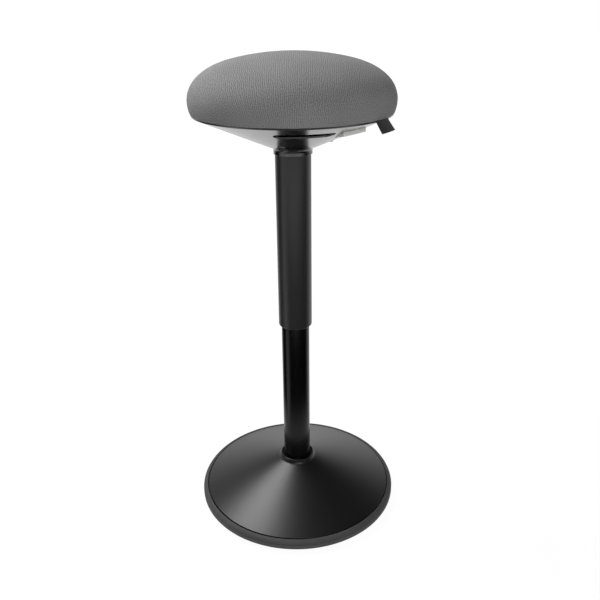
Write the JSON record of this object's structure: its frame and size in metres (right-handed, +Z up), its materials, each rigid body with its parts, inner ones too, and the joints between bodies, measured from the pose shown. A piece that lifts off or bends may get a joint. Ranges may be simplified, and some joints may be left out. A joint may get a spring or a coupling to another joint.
{
  "type": "ergonomic stool",
  "caption": "Round height-adjustable wobble stool: upholstered seat on a telescoping gas-lift column over a weighted cone base with a convex sole.",
  "frame": {"origin": "on the floor under the column, at the centre of the sole's flat", "axes": "+Z up the column, -Y towards the front of the stool, +X to its right seen from the front"},
  "size_m": [0.3799, 0.38, 0.8397],
  "materials": {
    "sole_rubber": "matt moulded rubber",
    "iron_weight": "cast, unpainted",
    "satin_black_steel": "satin black powder coat",
    "gloss_black_steel": "gloss black enamel",
    "zinc_steel": "bright zinc plate",
    "chrome_steel": "ground and hard chromed",
    "bearing_plastic": "natural acetal",
    "seal_rubber": "black nitrile rubber",
    "lift_aluminium": "turned",
    "gloss_black_plastic": "gloss black moulded plastic",
    "light_grey_plastic": "satin light grey moulded plastic",
    "plywood": "birch plywood, sanded",
    "seat_foam": "moulded foam",
    "grey_fabric": "mid grey knitted upholstery",
    "label_ribbon": "black woven ribbon"
  },
  "bodies": {
    "base": {"rubber_sole": "sole_rubber", "sole_screws": "zinc_steel", "base_weight": "iron_weight", "edge_ring": "sole_rubber", "base_cover": "satin_black_steel", "hub_socket": "gloss_black_steel", "hub_bolts": "zinc_steel", "lower_tube": "gloss_black_steel", "tube_floor": "zinc_steel", "guide_bush": "bearing_plastic", "lower_thrust_washer": "zinc_steel"},
    "cage": {"ball_cage": "bearing_plastic", "bearing_balls": "chrome_steel"},
    "rod": {"upper_thrust_washer": "zinc_steel", "piston_rod": "chrome_steel", "rod_washer": "zinc_steel", "retaining_clip": "zinc_steel", "rubber_buffer": "seal_rubber", "piston": "lift_aluminium", "piston_seal": "seal_rubber"},
    "seat": {"gas_cylinder": "gloss_black_steel", "rod_guide": "lift_aluminium", "rod_seal": "seal_rubber", "cover_tube": "satin_black_steel", "wear_ring": "bearing_plastic", "cover_plug": "bearing_plastic", "plug_screws": "zinc_steel", "taper_socket": "zinc_steel", "seat_plate": "zinc_steel", "plate_bolts": "zinc_steel", "tee_nuts": "zinc_steel", "seat_board": "plywood", "seat_shell": "gloss_black_plastic", "shell_screws": "zinc_steel", "lever_bracket": "zinc_steel", "lever_pin": "zinc_steel", "foam_pad": "seat_foam", "seat_cover": "grey_fabric", "cover_staples": "zinc_steel", "label_tab": "label_ribbon"},
    "lever": {"lever_arm": "zinc_steel", "lever_paddle": "light_grey_plastic", "paddle_screws": "zinc_steel"},
    "valve": {"valve_pin": "zinc_steel"}
  },
  "joints": [
    {"name": "seat_swivel", "type": "hinge", "parent": "base", "child": "rod", "pos_m": [0, 0, 0.035], "axis": [0, 0, 1], "continuous": true},
    {"name": "cage_turn", "type": "hinge", "parent": "base", "child": "cage", "pos_m": [0, 0, 0.035], "axis": [0, 0, 1], "continuous": true},
    {"name": "seat_height", "type": "slide", "parent": "rod", "child": "seat", "axis": [0, 0, 1], "range_m": [-0.26, 0]},
    {"name": "lever_lift", "type": "hinge", "parent": "seat", "child": "lever", "pos_m": [0.0321, -0.03154, 0.74137], "axis": [-0.7009, -0.7133, 0], "range_deg": [0, 4], "stiffness_Nm_per_rad": 2, "springref_deg": -5.73},
    {"name": "valve_press", "type": "slide", "parent": "seat", "child": "valve", "axis": [0, 0, -1], "range_m": [0, 0.0034]}
  ],
  "couplings": [
    {"joint": "cage_turn", "follows": "seat_swivel", "ratio": 0.5},
    {"joint": "valve_press", "follows": "lever_lift", "m_per_rad": 0.045}
  ]
}
